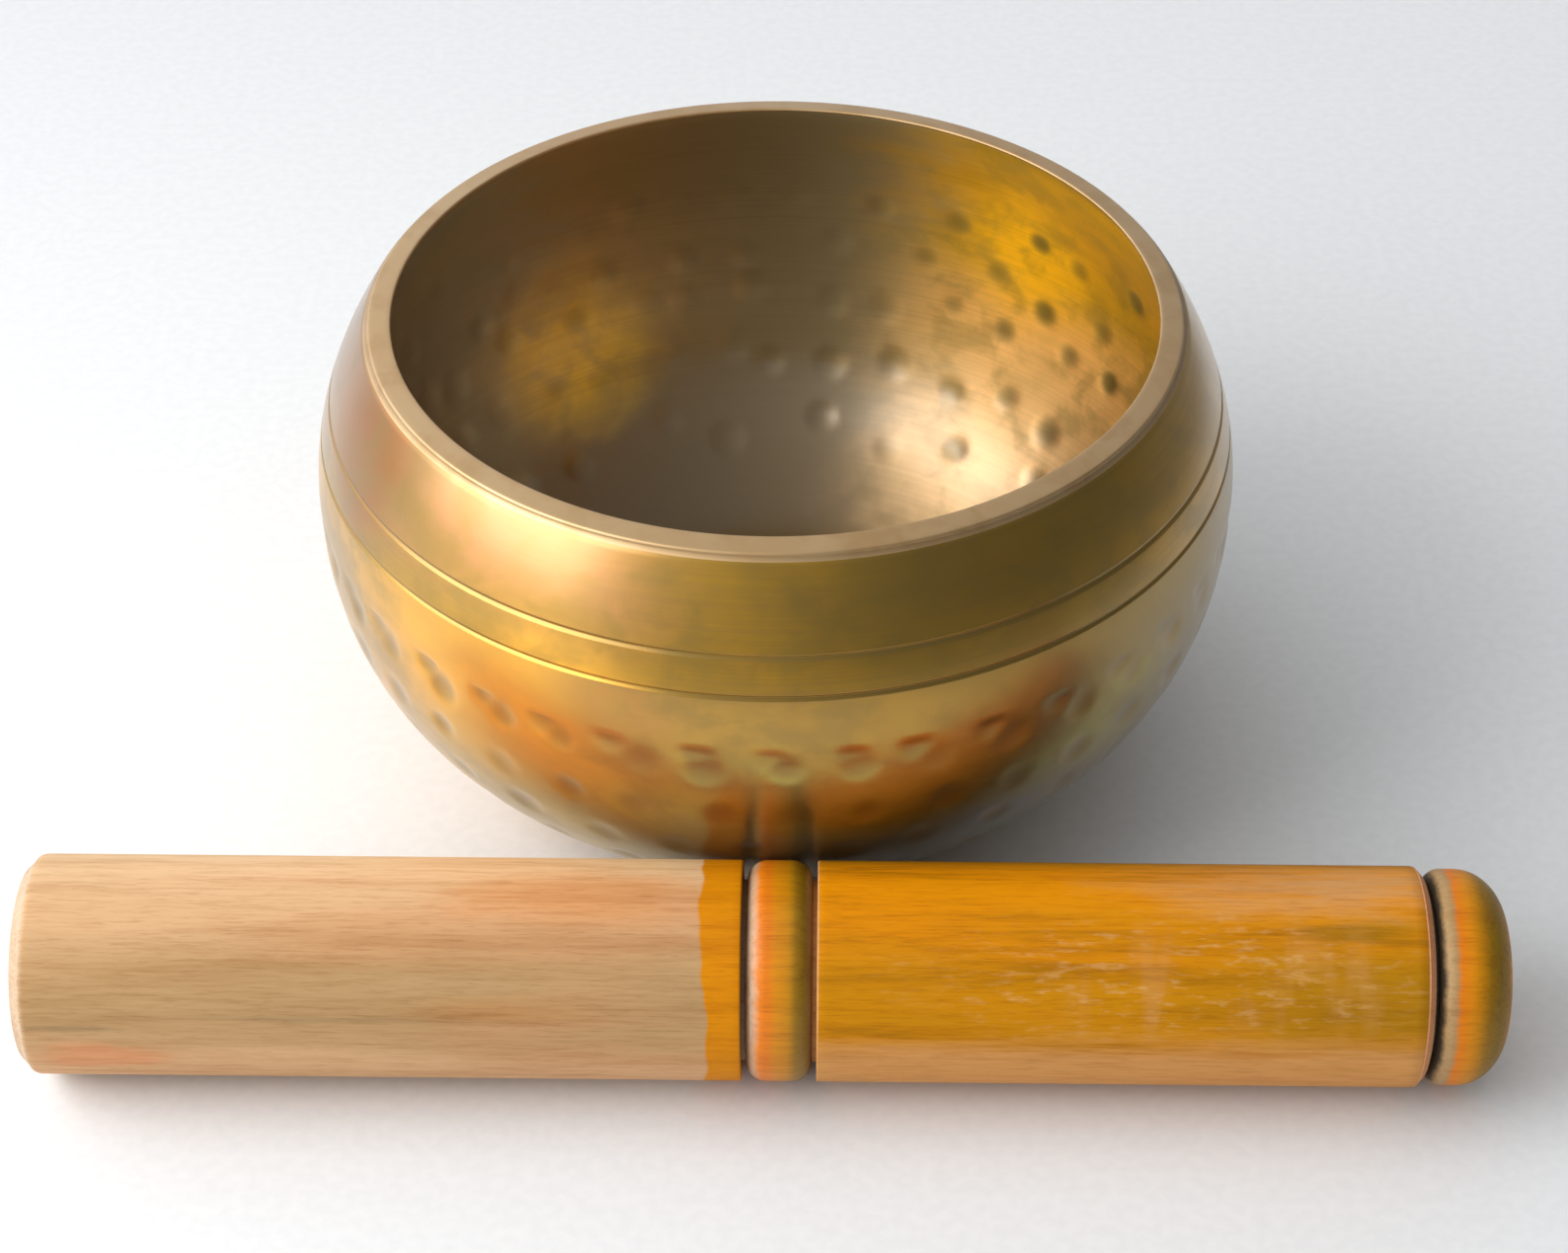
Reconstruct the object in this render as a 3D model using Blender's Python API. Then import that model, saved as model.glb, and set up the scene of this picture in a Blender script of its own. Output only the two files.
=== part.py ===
"""A hand-sized singing bowl of cast bronze and the turned wooden mallet that plays it.

The bowl stands on its flat foot. The frame's origin is the centre of that foot, with +Z up.
The mallet is loose: it lies on the same surface, along X, touching the bowl's belly on the -Y side.
All lengths are in metres.
"""

import math

import bpy
from mathutils import Vector

MM = 0.001

# Bowl: outer wall
BELLY_RADIUS = 50.0 * MM
BELLY_HEIGHT = 35.2 * MM  # height of the widest ring above the foot
BOWL_HEIGHT = 55.6 * MM
LIP_OUTER_RADIUS = 43.4 * MM
MOUTH_RADIUS = 40.85 * MM
LIP_DROP = 0.3 * MM  # the lip slopes down towards its outer edge
LIP_ROUNDING = 0.25 * MM
UNDERSIDE_DEPTH = 39.8 * MM  # depth of the full rounded underside, before the foot cuts it off
UNDERSIDE_POWER = 2.3  # 2 would be an ellipse; more is squarer

# Bowl: wall, floor and turned grooves
WALL = 2.2 * MM
FLOOR_BLEND = 3.0 * MM  # how softly the inside of the wall runs into the floor
GROOVE_DROPS = (9.6 * MM, 13.7 * MM)  # distances below the rim
GROOVE_DEPTH = 0.35 * MM
GROOVE_HALF_WIDTH = 0.45 * MM

# Mallet, measured along its axis from the bare striking end to the knob
MALLET_RADIUS = 11.2 * MM
STRIKER_LENGTH = 72.8 * MM
BEAD_LENGTH = 6.7 * MM
HANDLE_LENGTH = 61.2 * MM
KNOB_LENGTH = 7.9 * MM
NECK_WIDTH = 0.45 * MM  # flat bottom of each of the three turned grooves
NECK_RADIUS = 9.2 * MM
STRIKER_CHAMFER = 1.4 * MM
HANDLE_CHAMFER = 0.8 * MM
BEAD_SHOULDER = 2.1 * MM
KNOB_RADIUS = 10.95 * MM
KNOB_SHOULDER = 1.6 * MM
KNOB_CROWN = 1.4 * MM  # cylindrical stretch of the knob
KNOB_END_RADIUS = 5.5 * MM

# Placing of the mallet
MALLET_FORWARD = 55.6 * MM  # from the bowl's axis to the mallet's axis
MALLET_BEAD_SHIFT = 0.3 * MM  # the bead's middle lies this far to +X of the bowl's axis
MALLET_TURN = math.radians(0.95)  # the knob end lies a little nearer the front

BOWL_STEPS = 64
MALLET_STEPS = 36
WALL_SAMPLES = 9
UNDERSIDE_SAMPLES = 10
ROUND_SAMPLES = 4


def clear_scene():
    for old in list(bpy.data.objects):
        bpy.data.objects.remove(old, do_unlink=True)


def material(name, colour, roughness, metallic):
    made = bpy.data.materials.new(name)
    made.use_nodes = True
    shader = made.node_tree.nodes["Principled BSDF"]
    shader.inputs["Base Color"].default_value = (*colour, 1.0)
    shader.inputs["Roughness"].default_value = roughness
    shader.inputs["Metallic"].default_value = metallic
    made.diffuse_color = (*colour, 1.0)
    return made


def turned_object(name, profile, steps, surface):
    """Turns an outline of (radius, height) points about Z. It starts and ends on the axis, top first."""
    mesh = bpy.data.meshes.new(name)
    points = [(radius, 0.0, height) for radius, height in profile]
    mesh.from_pydata(points, [(i, i + 1) for i in range(len(points) - 1)], [])
    obj = bpy.data.objects.new(name, mesh)
    bpy.context.scene.collection.objects.link(obj)
    screw = obj.modifiers.new("Turn", "SCREW")
    screw.steps = steps
    screw.render_steps = steps
    screw.use_merge_vertices = True
    screw.merge_threshold = 0.00001
    bpy.context.view_layer.objects.active = obj
    obj.select_set(True)
    bpy.ops.object.modifier_apply(modifier=screw.name)
    obj.select_set(False)
    obj.data.materials.append(surface)
    obj.data.shade_smooth()
    obj.data.set_sharp_from_angle(angle=math.radians(32))
    return obj


def quarter_round(start, end, first_axis, samples=ROUND_SAMPLES):
    """Points of a quarter ellipse from start to end, leaving start along "radius" or "along"."""
    points = []
    for i in range(1, samples):
        angle = 0.5 * math.pi * i / samples
        quick, slow = math.sin(angle), 1 - math.cos(angle)
        across, down = (quick, slow) if first_axis == "radius" else (slow, quick)
        points.append(
            (start[0] + (end[0] - start[0]) * across, start[1] + (end[1] - start[1]) * down)
        )
    return [start, *points, end]


# The bowl


def wall_radius(height):
    """Outer radius at a height. Below the foot it goes on as the full rounded underside would."""
    if height > BELLY_HEIGHT:
        top = BOWL_HEIGHT - LIP_DROP
        share = (height - BELLY_HEIGHT) / (top - BELLY_HEIGHT)
        return BELLY_RADIUS - (BELLY_RADIUS - LIP_OUTER_RADIUS) * share**2
    share = min((BELLY_HEIGHT - height) / UNDERSIDE_DEPTH, 1.0)
    return BELLY_RADIUS * math.sqrt(1 - share**UNDERSIDE_POWER)


def wall_normal(height):
    """Outward normal of the outer wall, as (radial, upward)."""
    step = 0.01 * MM
    slope = (wall_radius(height + step) - wall_radius(height - step)) / (2 * step)
    normal = Vector((1.0, -slope)).normalized()
    return normal.x, normal.y


def groove_points(drop):
    height = BOWL_HEIGHT - drop
    upper, lower = height + GROOVE_HALF_WIDTH, height - GROOVE_HALF_WIDTH
    return [
        (wall_radius(upper), upper),
        (wall_radius(height) - GROOVE_DEPTH, height),
        (wall_radius(lower), lower),
    ]


def outer_wall():
    """From the lip's outer edge down to the edge of the foot."""
    top = BOWL_HEIGHT - LIP_DROP - LIP_ROUNDING
    points = []
    for i in range(WALL_SAMPLES + 1):
        height = top + (BELLY_HEIGHT - top) * i / WALL_SAMPLES
        if all(abs(BOWL_HEIGHT - drop - height) > 1.5 * GROOVE_HALF_WIDTH for drop in GROOVE_DROPS):
            points.append((wall_radius(height), height))
    for drop in GROOVE_DROPS:
        points += groove_points(drop)
    for i in range(1, UNDERSIDE_SAMPLES + 1):
        turn = 0.5 * math.pi * i / UNDERSIDE_SAMPLES
        height = BELLY_HEIGHT * (1 - math.sin(turn))
        points.append((wall_radius(height), height))
    return sorted(points, key=lambda point: -point[1])


def inner_wall():
    """The outer wall moved inwards by its thickness, from the floor's middle up to the lip."""
    lowest = BELLY_HEIGHT - 0.985 * UNDERSIDE_DEPTH
    highest = BOWL_HEIGHT - 1.4 * MM
    points = []
    samples = WALL_SAMPLES + UNDERSIDE_SAMPLES
    for i in range(samples + 1):
        height = lowest + (highest - lowest) * (1 - math.cos(0.5 * math.pi * i / samples))
        radial, upward = wall_normal(height)
        inner_height = height - WALL * upward
        above = inner_height - WALL
        softened = WALL + 0.5 * (above + math.hypot(above, FLOOR_BLEND))
        points.append((wall_radius(height) - WALL * radial, softened))
    return [(0.0, points[0][1]), *points]


def bowl_profile():
    lip_inside = (MOUTH_RADIUS, BOWL_HEIGHT)
    lip = [
        (MOUTH_RADIUS - 0.4 * LIP_ROUNDING, BOWL_HEIGHT - LIP_ROUNDING),
        (lip_inside[0] + LIP_ROUNDING, lip_inside[1]),
        (LIP_OUTER_RADIUS - LIP_ROUNDING, BOWL_HEIGHT - LIP_DROP),
    ]
    return [*inner_wall(), *lip, *outer_wall(), (0.0, 0.0)]


def make_bowl():
    bronze = material("bronze", (0.42, 0.27, 0.08), 0.38, 1.0)
    return turned_object("bowl", bowl_profile(), BOWL_STEPS, bronze)


# The mallet


def mallet_profile():
    """(radius, place along the axis) from the knob, at the top, down to the bare striking end."""
    length = STRIKER_LENGTH + BEAD_LENGTH + HANDLE_LENGTH + KNOB_LENGTH + 3 * NECK_WIDTH
    knob_top = length
    knob_bottom = knob_top - KNOB_LENGTH
    handle_top = knob_bottom - NECK_WIDTH
    handle_bottom = handle_top - HANDLE_LENGTH
    bead_top = handle_bottom - NECK_WIDTH
    bead_bottom = bead_top - BEAD_LENGTH
    striker_top = bead_bottom - NECK_WIDTH
    crown_bottom = knob_bottom + KNOB_SHOULDER
    points = [(0.0, knob_top)]
    points += quarter_round(
        (KNOB_END_RADIUS, knob_top), (KNOB_RADIUS, crown_bottom + KNOB_CROWN), "radius"
    )
    points += quarter_round((KNOB_RADIUS, crown_bottom), (NECK_RADIUS, knob_bottom), "along")
    points += [
        (NECK_RADIUS, handle_top),
        (MALLET_RADIUS - HANDLE_CHAMFER, handle_top),
        (MALLET_RADIUS, handle_top - HANDLE_CHAMFER),
        (MALLET_RADIUS, handle_bottom),
        (NECK_RADIUS, handle_bottom),
    ]
    points += quarter_round(
        (NECK_RADIUS, bead_top), (MALLET_RADIUS, bead_top - BEAD_SHOULDER), "radius"
    )
    points += quarter_round(
        (MALLET_RADIUS, bead_bottom + BEAD_SHOULDER), (NECK_RADIUS, bead_bottom), "along"
    )
    points += [
        (NECK_RADIUS, striker_top),
        (MALLET_RADIUS, striker_top),
        (MALLET_RADIUS, STRIKER_CHAMFER),
        (MALLET_RADIUS - STRIKER_CHAMFER, 0.0),
        (0.0, 0.0),
    ]
    middle = 0.5 * (bead_top + bead_bottom)
    return [(radius, along - middle) for radius, along in points]


def make_mallet():
    wood = material("turned_wood", (0.72, 0.38, 0.10), 0.55, 0.0)
    mallet = turned_object("mallet", mallet_profile(), MALLET_STEPS, wood)
    mallet.rotation_euler = (0.0, math.pi / 2, -MALLET_TURN)
    mallet.location = (MALLET_BEAD_SHIFT, -MALLET_FORWARD, MALLET_RADIUS)
    return mallet


clear_scene()
make_bowl()
make_mallet()
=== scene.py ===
import math
import random

import bpy
import numpy as np
from mathutils import Matrix, Vector


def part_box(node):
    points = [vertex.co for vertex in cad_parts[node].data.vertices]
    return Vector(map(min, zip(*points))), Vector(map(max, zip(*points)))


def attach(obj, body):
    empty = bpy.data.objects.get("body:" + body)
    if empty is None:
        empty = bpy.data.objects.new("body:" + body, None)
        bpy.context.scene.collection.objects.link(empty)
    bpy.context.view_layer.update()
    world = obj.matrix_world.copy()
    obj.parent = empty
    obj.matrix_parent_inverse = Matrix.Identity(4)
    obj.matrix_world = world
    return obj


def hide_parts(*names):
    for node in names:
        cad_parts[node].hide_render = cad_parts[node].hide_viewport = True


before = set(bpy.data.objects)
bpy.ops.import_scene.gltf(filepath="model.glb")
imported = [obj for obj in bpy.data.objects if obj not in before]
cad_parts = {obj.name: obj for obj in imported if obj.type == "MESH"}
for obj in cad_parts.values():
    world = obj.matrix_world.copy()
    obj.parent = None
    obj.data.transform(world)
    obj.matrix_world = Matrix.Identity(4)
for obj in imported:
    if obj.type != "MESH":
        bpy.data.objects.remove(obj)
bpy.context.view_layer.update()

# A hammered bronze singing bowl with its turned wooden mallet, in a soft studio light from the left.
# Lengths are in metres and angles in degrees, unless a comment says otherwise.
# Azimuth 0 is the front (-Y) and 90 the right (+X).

MM = 0.001

# ---------------------------------------------------------------- sizes

BOWL_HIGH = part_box("bowl")[1]
BELLY_RADIUS = BOWL_HIGH.x
BOWL_HEIGHT = BOWL_HIGH.z
BELLY_HEIGHT = 35.2 * MM
LIP_OUTER_RADIUS = 43.4 * MM
MOUTH_RADIUS = 40.85 * MM
LIP_DROP = 0.3 * MM
LIP_INNER_ROUNDING = 0.22 * MM
LIP_OUTER_ROUNDING = 0.3 * MM
LIP_ARC_START = 200  # angles from the outward direction, where the lip's two roundings
LIP_ARC_END = -25  # begin and end
LIP_ROW_STEP = 0.4 * MM
INSIDE_TOP = BOWL_HEIGHT - 1.4 * MM  # the inside wall's line ends here, and the lip's rounding follows
BAND_GAP = 0.3 * MM  # from the lip's last row to the band's first
UNDERSIDE_DEPTH = 39.8 * MM
UNDERSIDE_POWER = 2.3
WALL = 2.2 * MM
FLOOR_BLEND = 3.0 * MM
FOOT_ROUNDING = 0.315 * MM
GROOVE_DROPS = (9.6 * MM, 13.7 * MM)
GROOVE_DEPTH = 0.20 * MM
GROOVE_HALF_WIDTH = 0.30 * MM
GROOVE_POWER = 0.8  # 1 gives a V with straight sides
GROOVE_ROWS = 11
RING_STEPS = 512
ROW_STEP = 0.55 * MM

MALLET_RADIUS = 11.2 * MM
STRIKER_LENGTH = 72.8 * MM
BEAD_LENGTH = 6.7 * MM
HANDLE_LENGTH = 61.2 * MM
KNOB_LENGTH = 7.9 * MM
NECK_WIDTH = 0.45 * MM
NECK_RADIUS = 9.2 * MM
STRIKER_CHAMFER = 1.4 * MM
HANDLE_CHAMFER = 0.8 * MM
BEAD_SHOULDER = 2.1 * MM
KNOB_RADIUS = 10.95 * MM
KNOB_SHOULDER = 1.6 * MM
KNOB_CROWN = 1.4 * MM
KNOB_END_RADIUS = 5.5 * MM
SOFT_EDGE = 0.45 * MM
FACE_EDGE_RISE = 0.2 * MM
FACE_EDGE_RUN = 0.25 * MM
SIDE_EDGE = 0.3 * MM
CUT_EDGE = 0.18 * MM
# The fine cut where the handle's bevel begins: how far in, and how far past that place.
BEVEL_CUT = ((0.0, -0.12 * MM), (0.1 * MM, 0.0), (0.06 * MM, 0.14 * MM))
MALLET_ROW_STEP = 2.5 * MM
SHARP_ANGLE = math.radians(40)
MALLET_PLACE = (0.3 * MM, -55.6 * MM, MALLET_RADIUS)
MALLET_TURN = math.radians(-0.95)
MALLET_STEPS = 160

# ---------------------------------------------------------------- the bowl's shape


def wall_radius(height):
    """Outer radius at a height. Below the foot it goes on as the full rounded underside would."""
    height = np.asarray(height, float)
    top = BOWL_HEIGHT - LIP_DROP
    above = (height - BELLY_HEIGHT) / (top - BELLY_HEIGHT)
    below = np.clip((BELLY_HEIGHT - height) / UNDERSIDE_DEPTH, 0.0, 1.0)
    upper = BELLY_RADIUS - (BELLY_RADIUS - LIP_OUTER_RADIUS) * above**2
    lower = BELLY_RADIUS * np.sqrt(1 - below**UNDERSIDE_POWER)
    return np.where(height > BELLY_HEIGHT, upper, lower)


def groove_depth(height):
    """How far the turned grooves cut in at a height."""
    depth = np.zeros_like(height)
    for drop in GROOVE_DROPS:
        away = np.abs(height - (BOWL_HEIGHT - drop)) / GROOVE_HALF_WIDTH
        depth += GROOVE_DEPTH * np.clip(1 - away, 0, 1) ** GROOVE_POWER
    return depth


def even_rows(points, step):
    """Points along the same line, about step apart."""
    points = np.asarray(points, float)
    lengths = np.concatenate([[0], np.cumsum(np.linalg.norm(np.diff(points, axis=0), axis=1))])
    places = np.linspace(0, lengths[-1], max(2, round(lengths[-1] / step) + 1))
    return np.stack([np.interp(places, lengths, points[:, i]) for i in range(2)], axis=1)


def arc(centre, radius, start, end, count):
    """Points on a circle, between two angles measured from the outward direction."""
    angles = np.radians(np.linspace(start, end, count))
    return np.stack([centre[0] + radius * np.cos(angles), centre[1] + radius * np.sin(angles)], 1)


def inside_line():
    """From the middle of the floor up the inside: the outside moved in by WALL, over a flat floor."""
    # At its lowest point the full underside lies flat, and its slope over height has no value.
    shares = np.linspace(0.985, 0, 400) ** 0.6
    upper = np.linspace(BELLY_HEIGHT, INSIDE_TOP, 200)
    heights = np.concatenate([BELLY_HEIGHT - UNDERSIDE_DEPTH * shares, upper[1:]])
    step = 0.01 * MM
    slopes = (wall_radius(heights + step) - wall_radius(heights - step)) / (2 * step)
    lengths = np.hypot(1, slopes)
    above = heights + WALL * slopes / lengths - WALL
    softened = WALL + 0.5 * (above + np.hypot(above, FLOOR_BLEND))
    line = np.stack([wall_radius(heights) - WALL / lengths, softened], axis=1)
    return even_rows(np.concatenate([[[0.0, line[0, 1]]], line]), ROW_STEP)


def lip_line():
    """Over the flat lip, with a small rounding on both of its edges."""
    inner, outer = LIP_INNER_ROUNDING, LIP_OUTER_ROUNDING
    tilt = math.degrees(math.atan2(LIP_DROP, LIP_OUTER_RADIUS - MOUTH_RADIUS))
    inside = arc((MOUTH_RADIUS + inner, BOWL_HEIGHT - inner), inner, LIP_ARC_START, 90 - tilt, 7)
    edge = (LIP_OUTER_RADIUS - outer, BOWL_HEIGHT - LIP_DROP - outer)
    outside = arc(edge, outer, 90 - tilt, LIP_ARC_END, 8)
    flat = even_rows([inside[-1], outside[0]], LIP_ROW_STEP)
    return np.concatenate([inside, flat[1:-1], outside])


def band_line(top):
    """Down the outer wall from a height to the belly, with closer rows at the grooves."""
    heights = list(np.arange(top, BELLY_HEIGHT, -ROW_STEP))
    clearance = GROOVE_HALF_WIDTH + 0.25 * MM
    for drop in GROOVE_DROPS:
        middle = BOWL_HEIGHT - drop
        heights = [height for height in heights if abs(height - middle) > clearance]
        heights += list(middle + GROOVE_HALF_WIDTH * np.linspace(-1.3, 1.3, GROOVE_ROWS))
    heights = np.array(sorted(heights, reverse=True))
    return np.stack([wall_radius(heights) - groove_depth(heights), heights], axis=1)


def underside_line():
    """From the belly down to the flat foot, over its rounded edge, and in to the axis."""
    heights = BELLY_HEIGHT - BELLY_HEIGHT * np.linspace(0, 1, 500)
    # The wall eases on to the table, which rounds the foot's edge.
    eased = 0.5 * (heights + np.sqrt(heights**2 + FOOT_ROUNDING**2) - FOOT_ROUNDING)
    wall = np.stack([wall_radius(heights), eased], axis=1)
    edge = wall[-1, 0]
    foot = [[edge - 1.0 * MM, 0.0], [edge * 0.6, 0.0], [0.0, 0.0]]
    return np.concatenate([even_rows(wall, ROW_STEP), foot])


def line_normals(line):
    """Normals on the left of the line's direction of travel, which is the metal's outside."""
    along = np.gradient(line, axis=0)
    normal = np.stack([-along[:, 1], along[:, 0]], axis=1)
    return normal / np.maximum(np.linalg.norm(normal, axis=1, keepdims=True), 1e-12)


# Rows of round hammer dents: height (mm), azimuth of one dent, and the angle from dent to dent.
OUTER_DENTS = (
    (39.0, -0.8, 8.9),
    (33.1, 1.6, 8.9),
    (26.4, -7.2, 9.3),
    (20.0, -2.5, 10.4),
    (13.6, 3.0, 12.0),
)
INNER_DENTS = (
    (39.0, 153.0, 11.6),
    (32.6, 147.5, 11.6),
    (27.0, 153.8, 9.8),
    (19.2, 150.4, 9.4),
    (12.5, 146.0, 14.0),
)
DENT_RADIUS = 2.3 * MM
OUTER_DENT_DEPTH = 0.26 * MM
INNER_DENT_DEPTH = 0.20 * MM
DENT_POWER = 1.3
DENT_TURN = 1.1  # how far a dent strays from its place round the bowl, in degrees
DENT_SHIFT = 0.6  # how far it strays up or down, in mm
DENT_SIZES = (0.85, 1.1)
DENT_STRENGTHS = (0.55, 1.2)
DENT_SEED = 11
INNER_SPREAD = 2.4  # the inside's dents stray this much more than the outside's
OUTER_SPREAD = 1.0
UNDENTED_RADIUS = 12 * MM  # keeps the dents' rows off the flat floor and the foot
WORN_DENTS = 0.6  # how deep the inside's dents are on the left, as a share of those on the right


def dent_places(rows, depth, spread, least, rng):
    """(height, azimuth, radius, depth) of each dent. Every row goes all the way round.

    The dents on the left are shallower than those on the right by the share least.
    """
    for height, first, spacing in rows:
        count = round(360 / spacing)
        for i in range(count):
            azimuth = first + 360 * i / count + rng.uniform(-DENT_TURN, DENT_TURN) * spread
            lifted = height * MM + rng.uniform(-DENT_SHIFT, DENT_SHIFT) * spread * MM
            size = DENT_RADIUS * rng.uniform(*DENT_SIZES)
            rightness = 0.5 + 0.5 * math.sin(math.radians(azimuth))
            clearness = least + (1 - least) * rightness
            yield lifted, azimuth, size, depth * clearness * rng.uniform(*DENT_STRENGTHS)


def press_dents(offsets, line, places):
    """Adds each dent to the grid of offsets along the normals."""
    turn = 2 * math.pi / offsets.shape[1]
    for height, azimuth, radius, depth in places:
        nearest = int(np.argmin(np.abs(line[:, 1] - height) + (line[:, 0] < UNDENTED_RADIUS)))
        centre = line[nearest]
        reach = np.linalg.norm(line - centre, axis=1) < radius
        rows = np.nonzero(reach)[0]
        middle = math.radians(azimuth) / turn
        half = int(radius / (centre[0] * turn)) + 2
        columns = np.arange(int(middle) - half, int(middle) + half + 1)
        across = (columns - middle) * turn * centre[0]
        up = np.linalg.norm(line[rows] - centre, axis=1)
        share = (up[:, None] ** 2 + across[None, :] ** 2) / radius**2
        pressed = depth * np.clip(1 - share, 0, 1) ** DENT_POWER
        grid = np.ix_(rows, columns % offsets.shape[1])
        offsets[grid] = np.minimum(offsets[grid], -pressed)


def turned_grid(name, line, offsets, slots, steps):
    """A closed turned skin round Z, with the line's first and last points on the axis.

    offsets move the points along their normals. The attribute "pressed" keeps how far in they go.
    slots are the material slots of the rows of faces.
    """
    normals = line_normals(line)
    inner = line[1:-1]
    angles = 2 * math.pi * np.arange(steps) / steps
    radial = np.stack([np.sin(angles), -np.cos(angles)], axis=1)
    radius = inner[:, None, 0] + offsets[1:-1] * normals[1:-1, 0:1]
    height = inner[:, None, 1] + offsets[1:-1] * normals[1:-1, 1:2]
    ring = np.concatenate([radius[..., None] * radial[None], height[..., None]], axis=2)
    rows = len(inner)
    vertices = np.concatenate([[[0, 0, line[0, 1]]], ring.reshape(-1, 3), [[0, 0, line[-1, 1]]]])
    column = np.arange(steps)
    following = (column + 1) % steps
    faces = [(0, 1 + a, 1 + b) for a, b in zip(column, following)]
    slot_of_face = [slots[0]] * steps
    for row in range(rows - 1):
        here, there = 1 + row * steps, 1 + (row + 1) * steps
        quads = np.stack([here + column, there + column, there + following, here + following], 1)
        faces += quads.tolist()
        slot_of_face += [slots[row + 1]] * steps
    base, last = 1 + (rows - 1) * steps, len(vertices) - 1
    faces += [(last, base + b, base + a) for a, b in zip(column, following)]
    slot_of_face += [slots[-1]] * steps
    mesh = bpy.data.meshes.new(name)
    mesh.from_pydata(vertices.tolist(), [], faces)
    mesh.polygons.foreach_set("material_index", slot_of_face)
    mesh.shade_smooth()
    pressed = np.concatenate([[0], -offsets[1:-1].ravel(), [0]])
    mesh.attributes.new("pressed", "FLOAT", "POINT").data.foreach_set("value", pressed)
    mesh.update()
    obj = bpy.data.objects.new(name, mesh)
    bpy.context.scene.collection.objects.link(obj)
    return obj


INSIDE, LIP, BAND, HAMMERED = range(4)


def make_bowl():
    """The bowl as one skin: up the inside, over the lip, down the band and under to the foot."""
    rng = random.Random(DENT_SEED)
    inside = inside_line()
    lip = lip_line()
    band = band_line(lip[-1, 1] - BAND_GAP)
    under = underside_line()
    line = np.concatenate([inside, lip, band, under[1:]])
    offsets = np.zeros((len(line), RING_STEPS))
    inner_dents = dent_places(INNER_DENTS, INNER_DENT_DEPTH, INNER_SPREAD, WORN_DENTS, rng)
    outer_dents = dent_places(OUTER_DENTS, OUTER_DENT_DEPTH, OUTER_SPREAD, 1.0, rng)
    press_dents(offsets[: len(inside)], inside, inner_dents)
    press_dents(offsets[-len(under) :], under, outer_dents)
    groove_foot = BOWL_HEIGHT - GROOVE_DROPS[1] - GROOVE_HALF_WIDTH
    slots = [INSIDE] * len(inside) + [LIP] * len(lip)
    slots += [BAND if height > groove_foot else HAMMERED for height in line[len(slots) :, 1]]
    bowl = turned_grid("bowl_hammered", line, offsets, slots[:-1], RING_STEPS)
    for surface in (bronze_inside(), bronze_lip(), bronze_band(), bronze_hammered()):
        bowl.data.materials.append(surface)
    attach(bowl, "bowl")
    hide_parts("bowl")


# ---------------------------------------------------------------- the mallet's shape


def quarter(start, end, first_axis, count=12):
    """A quarter ellipse from start to end that leaves start along "radius" or "along"."""
    angles = 0.5 * math.pi * np.linspace(0, 1, count)
    quick, slow = np.sin(angles), 1 - np.cos(angles)
    across, down = (quick, slow) if first_axis == "radius" else (slow, quick)
    start, end = np.array(start), np.array(end)
    return start + (end - start) * np.stack([across, down], axis=1)


def striker_line(end):
    """The bare striking half: a flat end, a chamfer with soft edges, and the cut into the neck."""
    start = end - STRIKER_LENGTH
    face = MALLET_RADIUS - STRIKER_CHAMFER
    chamfer_end = start + STRIKER_CHAMFER
    first_edge = (
        (face - SOFT_EDGE, start),
        (face + FACE_EDGE_RISE, start + FACE_EDGE_RUN),
    )
    second_edge = (
        (MALLET_RADIUS - SIDE_EDGE, chamfer_end - SIDE_EDGE),
        (MALLET_RADIUS, chamfer_end + SOFT_EDGE),
    )
    side = [[MALLET_RADIUS, start + 3 * MM], [MALLET_RADIUS, end - 1 * MM]]
    return [
        [[0, start]],
        quarter(*first_edge, "radius", 6),
        quarter(*second_edge, "radius", 6),
        even_rows(side, MALLET_ROW_STEP),
        quarter((MALLET_RADIUS, end - CUT_EDGE), (MALLET_RADIUS - CUT_EDGE, end), "along", 5),
        [[NECK_RADIUS, end]],
    ]


def bead_line(end):
    """The bead, with a rounded shoulder on each side."""
    return [
        quarter((NECK_RADIUS, -end), (MALLET_RADIUS, -end + BEAD_SHOULDER), "radius"),
        quarter((MALLET_RADIUS, end - BEAD_SHOULDER), (NECK_RADIUS, end), "along"),
    ]


def handle_line(start, end):
    """The handle. A fine cut runs round it where its far bevel begins."""
    bevel = end - HANDLE_CHAMFER
    side = [[MALLET_RADIUS, start + 1 * MM], [MALLET_RADIUS, end - 2 * MM]]
    cut = [[MALLET_RADIUS - inwards, bevel + along] for inwards, along in BEVEL_CUT]
    return [
        [[NECK_RADIUS, start]],
        quarter((MALLET_RADIUS - CUT_EDGE, start), (MALLET_RADIUS, start + CUT_EDGE), "radius", 5),
        even_rows(side, MALLET_ROW_STEP),
        cut,
        [[MALLET_RADIUS - HANDLE_CHAMFER, end]],
        [[NECK_RADIUS, end]],
    ]


def knob_line(start):
    """The knob: a rounded shoulder, a short straight crown and a domed end."""
    end = start + KNOB_LENGTH
    crown = start + KNOB_SHOULDER
    return [
        quarter((NECK_RADIUS, start), (KNOB_RADIUS, crown), "radius"),
        quarter((KNOB_RADIUS, crown + KNOB_CROWN), (KNOB_END_RADIUS, end), "along", 20),
        [[0, end]],
    ]


STRIKER, BEAD, HANDLE, KNOB = range(4)


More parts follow.
